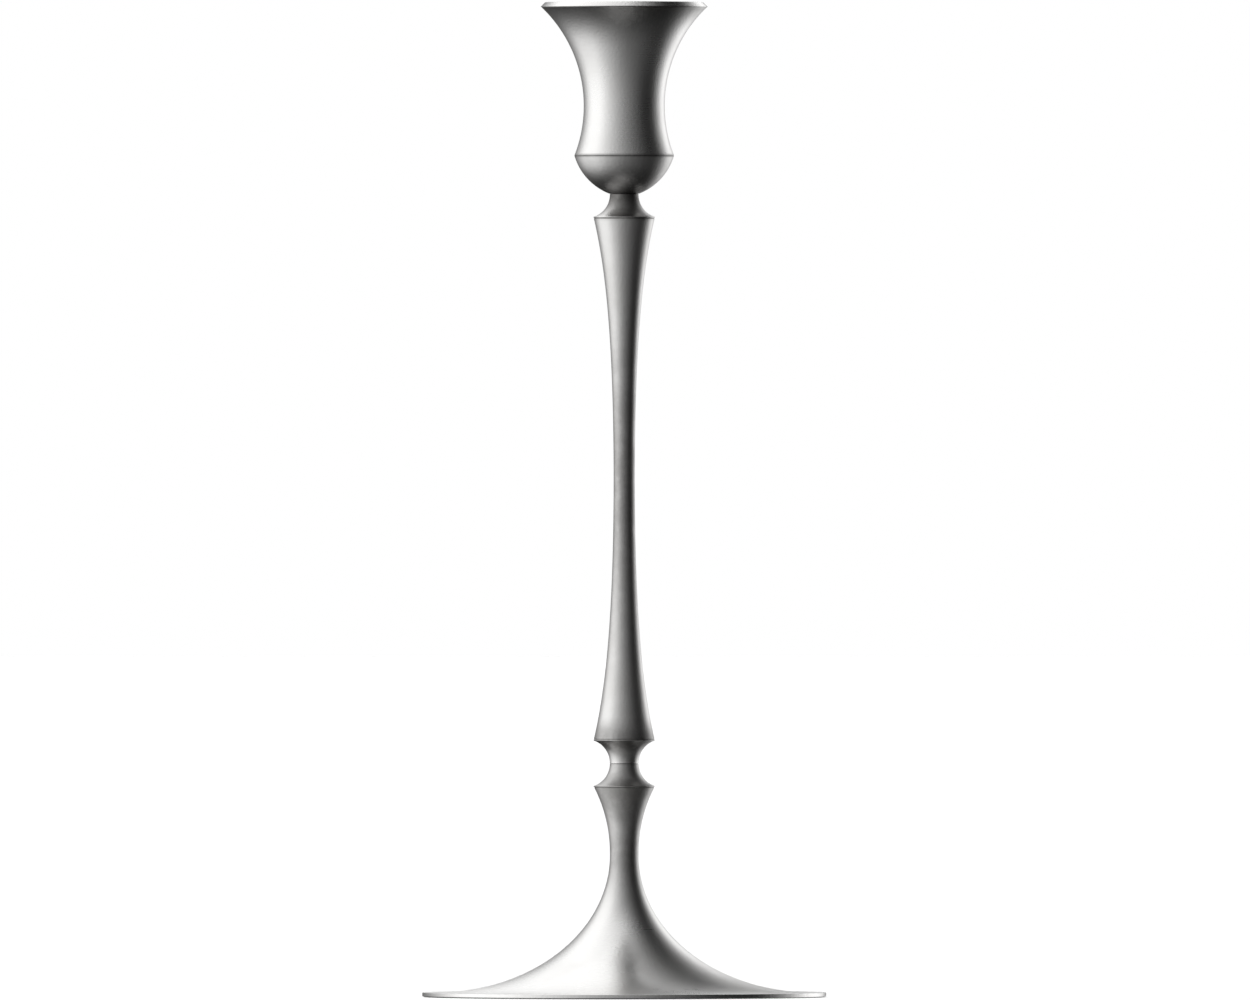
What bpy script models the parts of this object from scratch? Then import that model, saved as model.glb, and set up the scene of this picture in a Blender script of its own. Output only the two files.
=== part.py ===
"""Silver-plated table candlestick with a lift-out nozzle and a weighted foot.

Axis along +Z, origin at the centre of the underside. Metres.
All the metalwork is turned or spun, so each piece is a closed outline turned about the axis.
"""
from math import asin, cos, cosh, degrees, pi, radians, sin, sqrt

import bpy
import bmesh

MM = 0.001

# ---- driving dimensions, millimetres ----
HEIGHT = 330.0
GAP = 0.3                    # clearance between touching pieces
BIG_SEGMENTS = 40            # sides of the large turned pieces
SMALL_SEGMENTS = 20          # sides of screws and washers

RIM_R = 27.7                 # arris below the bevelled edge of the drip pan
RIM_TOP_R = 26.2             # where the bevel meets the top face
RIM_Z = 328.4                # underside of the drip pan
PAN_DISH = 0.6               # fall of the pan's top face towards the candle
PAN_LAND = 1.2               # level ring inside the bevel
PAN_SLOPE = 1.6              # ring over which the top face falls to the dish
PAN_ARRIS = 0.1              # upright edge under the bevel
PAN_BOSS = 1.2               # how far the boss stands down from the pan
PAN_BOSS_TAPER = 2.0

CANDLE_R = 11.2              # bore for a 7/8 inch taper candle
CANDLE_FLOOR_Z = 294.3
SLEEVE_WALL = 0.8
SLEEVE_FLANGE_R = 14.5       # turned-out lip that is soldered under the pan
SLEEVE_CHAMFER = 0.8
PAN_UNDER_Z = RIM_Z - PAN_BOSS    # underside of the boss that the lip is soldered to

BELL_WAIST_R = 13.42
BELL_WAIST_Z = 295.6
BELL_ARC = 45.2
BELL_BOTTOM_Z = 279.0
BELL_WALL = 1.6
CUP_BORE_R = 12.3
SPIGOT_R = 13.6
SPIGOT_BORE_R = 11.6
SPIGOT_TOP_Z = 283.0

BOWL_ARC = 19.39
BOWL_CENTRE = (-2.09, 284.53)
BOWL_WALL = 2.2
BOWL_FLOOR_Z = 269.6
BOWL_BOTTOM_Z = 266.45

NECK_WAIST_R = 4.75
UPPER_NECK_ARC = 7.77
UPPER_NECK_Z = 266.2
COLLAR_TOP_Z = 258.79        # arris where the upper neck meets the shaft

SHAFT_WAIST_R = 3.5
SHAFT_WAIST_Z = 171.9
SHAFT_SWELL = 1.017          # growth of the shaft's radius, with the length below
SHAFT_LENGTH = 32.0

COLLAR_LOW_Z = 85.06         # arris where the shaft meets the lower neck
LOWER_NECK_ARC = 7.95
LOWER_NECK_Z = 77.52
JOINT_Z = 77.4               # joint between stem and foot

COLUMN_TOP_Z = 69.96         # arris where the lower neck meets the column
COLUMN_ARC = 47.47
COLUMN_WAIST_Z = 47.85

FOOT_R = 67.0
FOOT_EDGE = 1.5              # thickness of the foot's edge
FOOT_LIFT = 0.25             # metal clears the table by this much
FOOT_CHAMFER_R = 0.4         # on both arrises of the edge
FOOT_CHAMFER_Z = 0.25
FLARE_WIDE = 57.74           # half axes of the flare's elliptical sweep
FLARE_TALL = 45.42
FLARE_WALL = 2.0

FELT_R = 49.5
FELT_TOP_Z = 1.0
PLATE_R = 42.0
PLATE_Z = (1.3, 2.3)
LEDGE_Z = 2.6                # top of the recess that the cover plate sits in
CAVITY_TOP_Z = 27.5

THREAD_R = 2.5               # M5
THREAD_CHAMFER = 0.8
HOLE_R = 2.8
TOP_TAPPED_Z = 250.0         # blind ends of the stem's tapped holes
LOW_TAPPED_Z = 96.0
DRILL_POINT = 1.5
WASHER_THICK = 1.0

CUP_WASHER_R = 5.0
CUP_LOCK_WASHER_R = 4.4
CUP_HEAD_R = 4.6             # pan head, crowned in two steps
CUP_HEAD_HEIGHT = 3.2
CUP_CROWN_WIDE = 1.6
CUP_CROWN_STEP = 0.5
CUP_SLOT_WIDTH = 1.3
CUP_SLOT_DEPTH = 1.6
CUP_SCREW_END_Z = 252.0

BOLT_SEAT_Z = 12.0           # top of the well in the ballast
BOLT_WASHER_R = 5.5
BOLT_LOCK_WASHER_R = 4.6
BOLT_HEAD_R = 4.25
BOLT_HEAD_HEIGHT = 5.0
BOLT_HEAD_CHAMFER = 0.5
BOLT_END_Z = 93.0
SOCKET_ACROSS_FLATS = 4.0
SOCKET_DEPTH = 2.8
WELL_R = 6.5

COVER_SCREW_CIRCLE = 26.0
COVER_SCREW_COUNT = 3
COVER_SCREW_SEGMENTS = 16
COVER_HEAD_R = 2.7
COVER_SHANK_R = 1.5
COVER_SHANK_CHAMFER = 0.5
COVER_SCREW_END_Z = 8.0
COVER_SLOT_WIDTH = 0.8
COVER_SLOT_DEPTH = 0.5
COVER_SINK = 0.05            # heads sit this far into the plate
COUNTERSINK_R = 3.0
CLEARANCE_HOLE_R = 1.8
BALLAST_HOLE_TOP_Z = 9.0

OVERCUT = 1.0                # cutters run this far past the face they cut

SILVER = ("silver_plate", (0.91, 0.90, 0.87, 1.0), 0.16, 1.0)
SOLDERED_SILVER = ("sleeve_silver", (0.84, 0.83, 0.80, 1.0), 0.28, 1.0)
STEEL = ("zinc_plated_steel", (0.55, 0.56, 0.58, 1.0), 0.35, 1.0)
IRON = ("cast_iron", (0.13, 0.13, 0.135, 1.0), 0.75, 0.8)
FELT = ("green_felt", (0.03, 0.085, 0.05, 1.0), 0.95, 0.0)


# ---- outlines ----

def arc(centre, radius, start, end, steps):
    """Points on a circle about (r, z) centre, from one angle to the other, degrees from +r."""
    points = []
    for step in range(steps + 1):
        angle = radians(start + (end - start) * step / steps)
        points.append((centre[0] + radius * cos(angle), centre[1] + radius * sin(angle)))
    return points


def hollow_arc(waist_r, waist_z, radius, z_from, z_to, steps, inset=0.0):
    """A waisted side, hollowed by a circle whose nearest point is (waist_r, waist_z)."""
    centre = (waist_r + radius, waist_z)
    reach = radius + inset
    start = 180.0 - degrees(asin((z_from - waist_z) / reach))
    end = 180.0 - degrees(asin((z_to - waist_z) / reach))
    return arc(centre, reach, start, end, steps)


def bowl_arc(radius, z_from, z_to, steps):
    """The bowl's round side, or its inner side for a smaller radius."""
    start = degrees(asin((z_from - BOWL_CENTRE[1]) / radius))
    end = degrees(asin((z_to - BOWL_CENTRE[1]) / radius))
    return arc(BOWL_CENTRE, radius, start, end, steps)


def shaft_side(z_from, z_to, steps):
    """The long waisted shaft, a catenary: slim in the middle and swelling to both collars."""
    points = []
    for step in range(steps + 1):
        z = z_from + (z_to - z_from) * step / steps
        swell = SHAFT_SWELL * (cosh((z - SHAFT_WAIST_Z) / SHAFT_LENGTH) - 1.0)
        points.append((SHAFT_WAIST_R + swell, z))
    return points


def flare_side(start, end, steps, inset=0.0):
    """The foot's sweep: a quarter of an ellipse, from its upright end (0) to its level end (90)."""
    centre_r = NECK_WAIST_R + FLARE_WIDE
    centre_z = FOOT_EDGE + FLARE_TALL
    points = []
    for step in range(steps + 1):
        angle = radians(start + (end - start) * step / steps)
        r = centre_r - (FLARE_WIDE + inset) * cos(angle)
        z = centre_z - (FLARE_TALL + inset) * sin(angle)
        points.append((r, z))
    return points


def flare_angle_at(z, inset):
    """Where on the sweep, in degrees, a height is reached."""
    return degrees(asin((FOOT_EDGE + FLARE_TALL - z) / (FLARE_TALL + inset)))


# ---- turning and cutting ----

def make_material(finish):
    """A Principled material from (name, colour, roughness, metallic)."""
    name, colour, roughness, metallic = finish
    material = bpy.data.materials.get(name)
    if material is None:
        material = bpy.data.materials.new(name)
        material.use_nodes = True
        shader = material.node_tree.nodes["Principled BSDF"]
        shader.inputs["Base Color"].default_value = colour
        shader.inputs["Roughness"].default_value = roughness
        shader.inputs["Metallic"].default_value = metallic
        material.diffuse_color = colour
    return material


def turned(name, outline, finish, segments=BIG_SEGMENTS, parent=None, centre=(0.0, 0.0)):
    """Turn a closed (r, z) outline about the axis into one closed body."""
    mesh = bpy.data.meshes.new(name)
    body = bmesh.new()
    rings = []
    for r, z in outline:
        if r < 1e-6:
            rings.append([body.verts.new((0.0, 0.0, z * MM))])
            continue
        ring = []
        for step in range(segments):
            angle = 2.0 * pi * step / segments
            ring.append(body.verts.new((r * cos(angle) * MM, r * sin(angle) * MM, z * MM)))
        rings.append(ring)
    for ring, following in zip(rings, rings[1:] + rings[:1]):
        if len(ring) == 1 and len(following) == 1:
            continue
        for step in range(segments):
            corners = [ring[step % len(ring)], ring[(step + 1) % len(ring)],
                       following[(step + 1) % len(following)], following[step % len(following)]]
            body.faces.new(list(dict.fromkeys(corners)))
    bmesh.ops.recalc_face_normals(body, faces=body.faces)
    body.to_mesh(mesh)
    body.free()
    mesh.materials.append(make_material(finish))
    mesh.shade_smooth()
    mesh.set_sharp_from_angle(angle=radians(30.0))
    piece = bpy.data.objects.new(name, mesh)
    piece.location = (centre[0] * MM, centre[1] * MM, 0.0)
    bpy.context.collection.objects.link(piece)
    piece.parent = parent
    return piece


def slot_cutter(name, length, width, z_low, z_high, centre=(0.0, 0.0)):
    """A bar that cuts a straight screwdriver slot."""
    mesh = bpy.data.meshes.new(name)
    bar = bmesh.new()
    bmesh.ops.create_cube(bar, size=1.0)
    bmesh.ops.scale(bar, vec=(length * MM, width * MM, (z_high - z_low) * MM), verts=bar.verts)
    bmesh.ops.translate(bar, vec=(0.0, 0.0, (z_high + z_low) / 2.0 * MM), verts=bar.verts)
    bar.to_mesh(mesh)
    bar.free()
    cutter = bpy.data.objects.new(name, mesh)
    cutter.location = (centre[0] * MM, centre[1] * MM, 0.0)
    bpy.context.collection.objects.link(cutter)
    return cutter


def cut(piece, cutter):
    """Take the cutter's shape out of the piece."""
    cutter.hide_render = True
    cutter.display_type = 'WIRE'
    boolean = piece.modifiers.new("cut_" + cutter.name, 'BOOLEAN')
    boolean.operation = 'DIFFERENCE'
    boolean.solver = 'EXACT'
    boolean.object = cutter


# ---- the lift-out nozzle ----

def make_drip_pan(nozzle):
    """Bevelled pan, slightly dished, with a boss underneath that carries the sleeve."""
    land_r = RIM_TOP_R - PAN_LAND
    outline = [
        (RIM_TOP_R, HEIGHT),
        (RIM_R, RIM_Z + PAN_ARRIS),
        (RIM_R, RIM_Z),
        (SLEEVE_FLANGE_R + PAN_BOSS_TAPER, RIM_Z),
        (SLEEVE_FLANGE_R, PAN_UNDER_Z),
        (CANDLE_R, PAN_UNDER_Z),
        (CANDLE_R, HEIGHT - PAN_DISH),
        (land_r - PAN_SLOPE, HEIGHT - PAN_DISH),
        (land_r, HEIGHT),
    ]
    return turned("drip_pan", outline, SILVER, parent=nozzle)


def make_candle_sleeve(nozzle):
    """Drawn tube with a closed bottom and a lip that is soldered to the pan's boss."""
    outer = CANDLE_R + SLEEVE_WALL
    lip_top = PAN_UNDER_Z - GAP
    lip_low = lip_top - SLEEVE_WALL
    floor_under = CANDLE_FLOOR_Z - SLEEVE_WALL
    outline = [
        (CANDLE_R, lip_top),
        (SLEEVE_FLANGE_R, lip_top),
        (SLEEVE_FLANGE_R, lip_low),
        (outer, lip_low),
        (outer, floor_under + SLEEVE_CHAMFER),
        (outer - SLEEVE_CHAMFER, floor_under),
        (0.0, floor_under),
        (0.0, CANDLE_FLOOR_Z),
        (CANDLE_R, CANDLE_FLOOR_Z),
    ]
    return turned("candle_sleeve", outline, SOLDERED_SILVER, parent=nozzle)


# ---- the candle cup ----

def make_candle_cup():
    """Waisted bell shell, bored for the sleeve and recessed below for the bowl's spigot."""
    top = RIM_Z - GAP
    outside = hollow_arc(BELL_WAIST_R, BELL_WAIST_Z, BELL_ARC, top, BELL_BOTTOM_Z + GAP / 2.0, 14)
    recess_r = SPIGOT_R + GAP
    recess_top = SPIGOT_TOP_Z + GAP
    inner_reach = BELL_ARC + BELL_WALL
    bore_meets = BELL_WAIST_Z + sqrt(inner_reach ** 2 - (BELL_WAIST_R + BELL_ARC - CUP_BORE_R) ** 2)
    inside = hollow_arc(BELL_WAIST_R, BELL_WAIST_Z, BELL_ARC, bore_meets, top, 8, inset=BELL_WALL)
    outline = outside + [
        (recess_r, BELL_BOTTOM_Z + GAP / 2.0),
        (recess_r, recess_top),
        (CUP_BORE_R, recess_top),
    ] + inside
    return turned("candle_cup", outline, SILVER)


def make_cup_bowl():
    """Round bowl under the bell: a level floor for the screw and a spigot up into the bell."""
    top = BELL_BOTTOM_Z - GAP / 2.0
    low = BOWL_BOTTOM_Z + GAP / 2.0
    outside = bowl_arc(BOWL_ARC, top, low, 8)
    inner_arc = BOWL_ARC - BOWL_WALL
    spigot_meets = BOWL_CENTRE[1] - sqrt(inner_arc ** 2 - (SPIGOT_BORE_R - BOWL_CENTRE[0]) ** 2)
    inside = bowl_arc(inner_arc, BOWL_FLOOR_Z, spigot_meets, 5)
    outline = [(SPIGOT_R, SPIGOT_TOP_Z), (SPIGOT_R, top)] + outside + [
        (HOLE_R, low),
        (HOLE_R, BOWL_FLOOR_Z),
    ] + inside + [(SPIGOT_BORE_R, SPIGOT_TOP_Z)]
    return turned("cup_bowl", outline, SILVER)


# ---- fasteners ----

def make_washer(name, outer_r, z_low):
    """A flat ring round an M5 shank."""
    z_high = z_low + WASHER_THICK
    outline = [(outer_r, z_high), (outer_r, z_low), (HOLE_R, z_low), (HOLE_R, z_high)]
    return turned(name, outline, STEEL, segments=SMALL_SEGMENTS)


def make_cup_fasteners():
    """Slotted pan-head screw with two washers, from the bowl's floor down into the stem."""
    washer_z = BOWL_FLOOR_Z + GAP
    lock_z = washer_z + WASHER_THICK + GAP
    under_head = lock_z + WASHER_THICK + GAP
    head_top = under_head + CUP_HEAD_HEIGHT
    make_washer("cup_washer", CUP_WASHER_R, washer_z)
    make_washer("cup_lock_washer", CUP_LOCK_WASHER_R, lock_z)
    outline = [
        (0.0, head_top),
        (CUP_HEAD_R - CUP_CROWN_WIDE, head_top),
        (CUP_HEAD_R - CUP_CROWN_STEP, head_top - CUP_CROWN_STEP),
        (CUP_HEAD_R, head_top - CUP_CROWN_WIDE),
        (CUP_HEAD_R, under_head),
        (THREAD_R, under_head),
        (THREAD_R, CUP_SCREW_END_Z + THREAD_CHAMFER),
        (THREAD_R - THREAD_CHAMFER, CUP_SCREW_END_Z),
        (0.0, CUP_SCREW_END_Z),
    ]
    screw = turned("cup_screw", outline, STEEL, segments=SMALL_SEGMENTS)
    slot_floor = head_top - CUP_SLOT_DEPTH
    slot_length = 2.0 * (CUP_HEAD_R + OVERCUT)
    cut(screw, slot_cutter("cup_screw_slot", slot_length, CUP_SLOT_WIDTH, slot_floor, head_top + OVERCUT))


def make_base_fasteners():
    """Long socket-head bolt with two washers, from inside the ballast up into the stem."""
    washer_z = BOLT_SEAT_Z - GAP - WASHER_THICK
    lock_z = washer_z - GAP - WASHER_THICK
    head_top = lock_z - GAP
    head_low = head_top - BOLT_HEAD_HEIGHT
    make_washer("bolt_washer", BOLT_WASHER_R, washer_z)
    make_washer("bolt_lock_washer", BOLT_LOCK_WASHER_R, lock_z)
    outline = [
        (0.0, BOLT_END_Z),
        (THREAD_R - THREAD_CHAMFER, BOLT_END_Z),
        (THREAD_R, BOLT_END_Z - THREAD_CHAMFER),
        (THREAD_R, head_top),
        (BOLT_HEAD_R, head_top),
        (BOLT_HEAD_R, head_low + BOLT_HEAD_CHAMFER),
        (BOLT_HEAD_R - BOLT_HEAD_CHAMFER, head_low),
        (0.0, head_low),
    ]
    bolt = turned("base_bolt", outline, STEEL, segments=SMALL_SEGMENTS)
    socket_r = SOCKET_ACROSS_FLATS / 2.0 / cos(radians(30.0))
    socket_top = head_low + SOCKET_DEPTH
    socket_low = head_low - OVERCUT
    socket = [(0.0, socket_top), (socket_r, socket_top), (socket_r, socket_low), (0.0, socket_low)]
    cut(bolt, turned("base_bolt_socket", socket, STEEL, segments=6))


def screw_place(index):
    """Centre of one cover screw, evenly spaced on its circle."""
    angle = radians(90.0 + 360.0 * index / COVER_SCREW_COUNT)
    return (COVER_SCREW_CIRCLE * cos(angle), COVER_SCREW_CIRCLE * sin(angle))


def make_cover_screws():
    """Countersunk slotted screws that hold the cover plate to the ballast."""
    head_low = PLATE_Z[0] + COVER_SINK
    neck_z = head_low + COVER_HEAD_R - COVER_SHANK_R
    slot_length = 2.0 * (COVER_HEAD_R + COVER_SLOT_DEPTH)
    slot_top = head_low + COVER_SLOT_DEPTH
    for index in range(COVER_SCREW_COUNT):
        name = "cover_screw_%d" % (index + 1)
        outline = [
            (0.0, COVER_SCREW_END_Z),
            (COVER_SHANK_R - COVER_SHANK_CHAMFER, COVER_SCREW_END_Z),
            (COVER_SHANK_R, COVER_SCREW_END_Z - COVER_SHANK_CHAMFER),
            (COVER_SHANK_R, neck_z),
            (COVER_HEAD_R, head_low),
            (0.0, head_low),
        ]
        centre = screw_place(index)
        screw = turned(name, outline, STEEL, segments=COVER_SCREW_SEGMENTS, centre=centre)
        slot_low = head_low - COVER_SLOT_DEPTH
        cut(screw, slot_cutter(name + "_slot", slot_length, COVER_SLOT_WIDTH, slot_low, slot_top, centre))


# ---- stem ----

def make_stem():
    """One turned bar: upper neck, waisted shaft and the top half of the lower neck."""
    top = BOWL_BOTTOM_Z - GAP / 2.0
    low = JOINT_Z + GAP / 2.0
    outline = hollow_arc(NECK_WAIST_R, UPPER_NECK_Z, UPPER_NECK_ARC, top, COLLAR_TOP_Z, 5)
    outline += shaft_side(COLLAR_TOP_Z, COLLAR_LOW_Z, 16)[1:]
    outline += hollow_arc(NECK_WAIST_R, LOWER_NECK_Z, LOWER_NECK_ARC, COLLAR_LOW_Z, low, 5)[1:]
    outline += [
        (HOLE_R, low),
        (HOLE_R, LOW_TAPPED_Z),
        (0.0, LOW_TAPPED_Z + DRILL_POINT),
        (0.0, TOP_TAPPED_Z - DRILL_POINT),
        (HOLE_R, TOP_TAPPED_Z),
        (HOLE_R, top),
    ]
    return turned("stem", outline, SILVER)


# ---- foot ----

def make_foot():
    """Bottom half of the lower neck, column and trumpet flare, hollow underneath."""
    top = JOINT_Z - GAP / 2.0
    outline = hollow_arc(NECK_WAIST_R, LOWER_NECK_Z, LOWER_NECK_ARC, top, COLUMN_TOP_Z, 5)
    outline += hollow_arc(NECK_WAIST_R, COLUMN_WAIST_Z, COLUMN_ARC, COLUMN_TOP_Z, COLUMN_WAIST_Z, 6)[1:]
    outline += flare_side(0.0, 90.0, 13)
    cavity_top = flare_angle_at(CAVITY_TOP_Z, FLARE_WALL)
    cavity_low = flare_angle_at(LEDGE_Z, FLARE_WALL)
    outline += [
        (FOOT_R - FOOT_CHAMFER_R, FOOT_EDGE),
        (FOOT_R, FOOT_EDGE - FOOT_CHAMFER_Z),
        (FOOT_R, FOOT_LIFT + FOOT_CHAMFER_Z),
        (FOOT_R - FOOT_CHAMFER_R, FOOT_LIFT),
        (FELT_R + GAP, FOOT_LIFT),
        (FELT_R + GAP, FELT_TOP_Z + GAP),
        (PLATE_R + GAP, FELT_TOP_Z + GAP),
        (PLATE_R + GAP, LEDGE_Z),
    ]
    outline += flare_side(cavity_low, cavity_top, 7, inset=FLARE_WALL)
    outline += [(HOLE_R, CAVITY_TOP_Z), (HOLE_R, top)]
    return turned("foot", outline, SILVER)


def make_ballast():
    """Cast loading cone with a well for the bolt's head and tapped holes for the cover plate."""
    inset = FLARE_WALL + GAP
    top = CAVITY_TOP_Z - GAP
    low = LEDGE_Z
    outline = flare_side(flare_angle_at(top, inset), flare_angle_at(low, inset), 7, inset=inset)
    outline += [(WELL_R, low), (WELL_R, BOLT_SEAT_Z), (HOLE_R, BOLT_SEAT_Z), (HOLE_R, top)]
    ballast = turned("ballast", outline, IRON)
    hole_low = low - OVERCUT
    for index in range(COVER_SCREW_COUNT):
        hole = [
            (0.0, BALLAST_HOLE_TOP_Z),
            (CLEARANCE_HOLE_R, BALLAST_HOLE_TOP_Z),
            (CLEARANCE_HOLE_R, hole_low),
            (0.0, hole_low),
        ]
        name = "ballast_hole_%d" % (index + 1)
        cut(ballast, turned(name, hole, IRON, segments=COVER_SCREW_SEGMENTS, centre=screw_place(index)))
    return ballast


def make_cover_plate():
    """Steel disc that closes the foot, countersunk for its screws."""
    low, high = PLATE_Z
    outline = [(0.0, high), (PLATE_R, high), (PLATE_R, low), (0.0, low)]
    plate = turned("cover_plate", outline, STEEL)
    for index in range(COVER_SCREW_COUNT):
        sink = [
            (0.0, high + OVERCUT),
            (CLEARANCE_HOLE_R, high + OVERCUT),
            (CLEARANCE_HOLE_R, low + COUNTERSINK_R - CLEARANCE_HOLE_R),
            (COUNTERSINK_R + OVERCUT, low - OVERCUT),
            (0.0, low - OVERCUT),
        ]
        name = "plate_hole_%d" % (index + 1)
        cut(plate, turned(name, sink, STEEL, segments=COVER_SCREW_SEGMENTS, centre=screw_place(index)))
    return plate


def make_felt_pad():
    """Felt disc that the candlestick stands on."""
    outline = [(0.0, FELT_TOP_Z), (FELT_R, FELT_TOP_Z), (FELT_R, 0.0), (0.0, 0.0)]
    return turned("felt_pad", outline, FELT)


def main():
    for old in list(bpy.data.objects):
        bpy.data.objects.remove(old, do_unlink=True)
    nozzle = bpy.data.objects.new("nozzle_axis", None)
    nozzle.location = (0.0, 0.0, 0.0)
    bpy.context.collection.objects.link(nozzle)
    make_drip_pan(nozzle)
    make_candle_sleeve(nozzle)
    make_candle_cup()
    make_cup_bowl()
    make_cup_fasteners()
    make_stem()
    make_foot()
    make_base_fasteners()
    make_ballast()
    make_cover_plate()
    make_cover_screws()
    make_felt_pad()


main()
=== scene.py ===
from math import asin, atan2, cos, cosh, degrees, exp, hypot, pi, radians, sin, sqrt

import bmesh
import bpy
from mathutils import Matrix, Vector, noise as surfaceNoise


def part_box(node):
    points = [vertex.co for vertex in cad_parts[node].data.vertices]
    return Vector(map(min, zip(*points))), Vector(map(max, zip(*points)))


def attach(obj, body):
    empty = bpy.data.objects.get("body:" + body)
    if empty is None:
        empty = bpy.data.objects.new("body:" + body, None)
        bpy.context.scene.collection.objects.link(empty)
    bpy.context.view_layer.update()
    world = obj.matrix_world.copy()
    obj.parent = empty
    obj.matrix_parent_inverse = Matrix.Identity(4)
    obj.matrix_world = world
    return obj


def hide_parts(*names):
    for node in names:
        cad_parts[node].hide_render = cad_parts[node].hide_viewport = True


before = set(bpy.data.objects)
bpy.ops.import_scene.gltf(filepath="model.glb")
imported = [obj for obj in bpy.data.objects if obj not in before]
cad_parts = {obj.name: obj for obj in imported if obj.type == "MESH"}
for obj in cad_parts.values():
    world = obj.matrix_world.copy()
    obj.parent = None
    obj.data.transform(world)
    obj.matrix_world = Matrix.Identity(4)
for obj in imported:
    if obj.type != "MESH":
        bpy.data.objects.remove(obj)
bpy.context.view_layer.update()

mm = 0.001


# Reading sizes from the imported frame

def span(node):
    # lowest z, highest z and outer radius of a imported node, in millimetres
    low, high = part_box(node)
    radius = (high.x - low.x) / 2
    return low.z / mm, high.z / mm, radius / mm


seamGap = 0.04               # hairline left between pieces that meet, mm


def meet(lower, upper):
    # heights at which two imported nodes, one on the other, meet with only a hairline between them
    middle = (span(lower)[1] + span(upper)[0]) / 2
    return middle - seamGap / 2, middle + seamGap / 2


# Shapes for turned outlines, as (r, z) points in millimetres

def hollowSide(waistR, waistZ, arcR, zFrom, zTo, steps, inset=0.0):
    # side hollowed by a circle that comes nearest the axis at (waistR, waistZ)
    reach = arcR + inset
    first = asin((zFrom - waistZ) / reach)
    last = asin((zTo - waistZ) / reach)
    points = []
    for step in range(steps + 1):
        angle = first + (last - first) * step / steps
        points.append((waistR + arcR - reach * cos(angle), waistZ + reach * sin(angle)))
    return points


def roundSide(centreR, centreZ, arcR, zFrom, zTo, steps):
    # side that swells out on a circle
    first = asin((zFrom - centreZ) / arcR)
    last = asin((zTo - centreZ) / arcR)
    points = []
    for step in range(steps + 1):
        angle = first + (last - first) * step / steps
        points.append((centreR + arcR * cos(angle), centreZ + arcR * sin(angle)))
    return points


toolLine = {
    "half": 0.17,             # half its width, mm
    "deep": 0.22,
    "from": 0.45,             # how far from an arris it is scored
}


def scored(side, z):
    # scores a fine tool line round a side, whose points run downwards
    s = toolLine
    top = z + s["half"]
    low = z - s["half"]

    def sideR(height):
        for (r0, z0), (r1, z1) in zip(side, side[1:]):
            if z0 >= height >= z1:
                return r0 + (r1 - r0) * (z0 - height) / (z0 - z1)

    line = [(sideR(top), top), (sideR(z) - s["deep"], z), (sideR(low), low)]
    return [point for point in side if point[1] > top] + line + [point for point in side if point[1] < low]


def softened(outline, reach, steps=5, sharpest=14.0):
    # rounds each corner of a closed outline that turns by more than the given degrees
    count = len(outline)
    result = []
    corners = []
    for index, point in enumerate(outline):
        before = outline[index - 1]
        after = outline[(index + 1) % count]
        inLen = hypot(point[0] - before[0], point[1] - before[1])
        outLen = hypot(after[0] - point[0], after[1] - point[1])
        inDir = ((point[0] - before[0]) / inLen, (point[1] - before[1]) / inLen)
        outDir = ((after[0] - point[0]) / outLen, (after[1] - point[1]) / outLen)
        turn = atan2(inDir[0] * outDir[1] - inDir[1] * outDir[0], inDir[0] * outDir[0] + inDir[1] * outDir[1])
        if abs(degrees(turn)) < sharpest or point[0] < 1e-6:
            result.append(point)
            continue
        corners.append((point[0], point[1], turn))
        inCut = min(reach, inLen * 0.45)
        outCut = min(reach, outLen * 0.45)
        start = (point[0] - inDir[0] * inCut, point[1] - inDir[1] * inCut)
        end = (point[0] + outDir[0] * outCut, point[1] + outDir[1] * outCut)
        for step in range(steps + 1):
            t = step / steps
            weights = ((1 - t) ** 2, 2 * t * (1 - t), t * t)
            result.append(tuple(sum(w * p[k] for w, p in zip(weights, (start, point, end))) for k in (0, 1)))
    return result, corners


def guarded(outline, margin=1.2):
    # adds points near the ends of long stretches, so that wear, tarnish and painted shade stay close to their
    # edges
    result = []
    for a, b in zip(outline, outline[1:] + outline[:1]):
        result.append(a)
        length = hypot(b[0] - a[0], b[1] - a[1])
        if length > 3 * margin:
            for share in (margin / length, 1 - margin / length):
                result.append((a[0] + (b[0] - a[0]) * share, a[1] + (b[1] - a[1]) * share))
    return result


def turnedArea(outline):
    # signed area, which tells which way round an outline runs
    total = 0.0
    for a, b in zip(outline, outline[1:] + outline[:1]):
        total += a[0] * b[1] - b[0] * a[1]
    return total / 2


def closeness(across, up, reach):
    # 1 at a place on the outline, fading to nothing a few reaches away
    return exp(-(across ** 2 + up ** 2) / reach ** 2)


wearReach = {"arris": 0.7, "tarnishAndShade": 0.35}    # how far polish and tarnish come from an edge, mm


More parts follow.
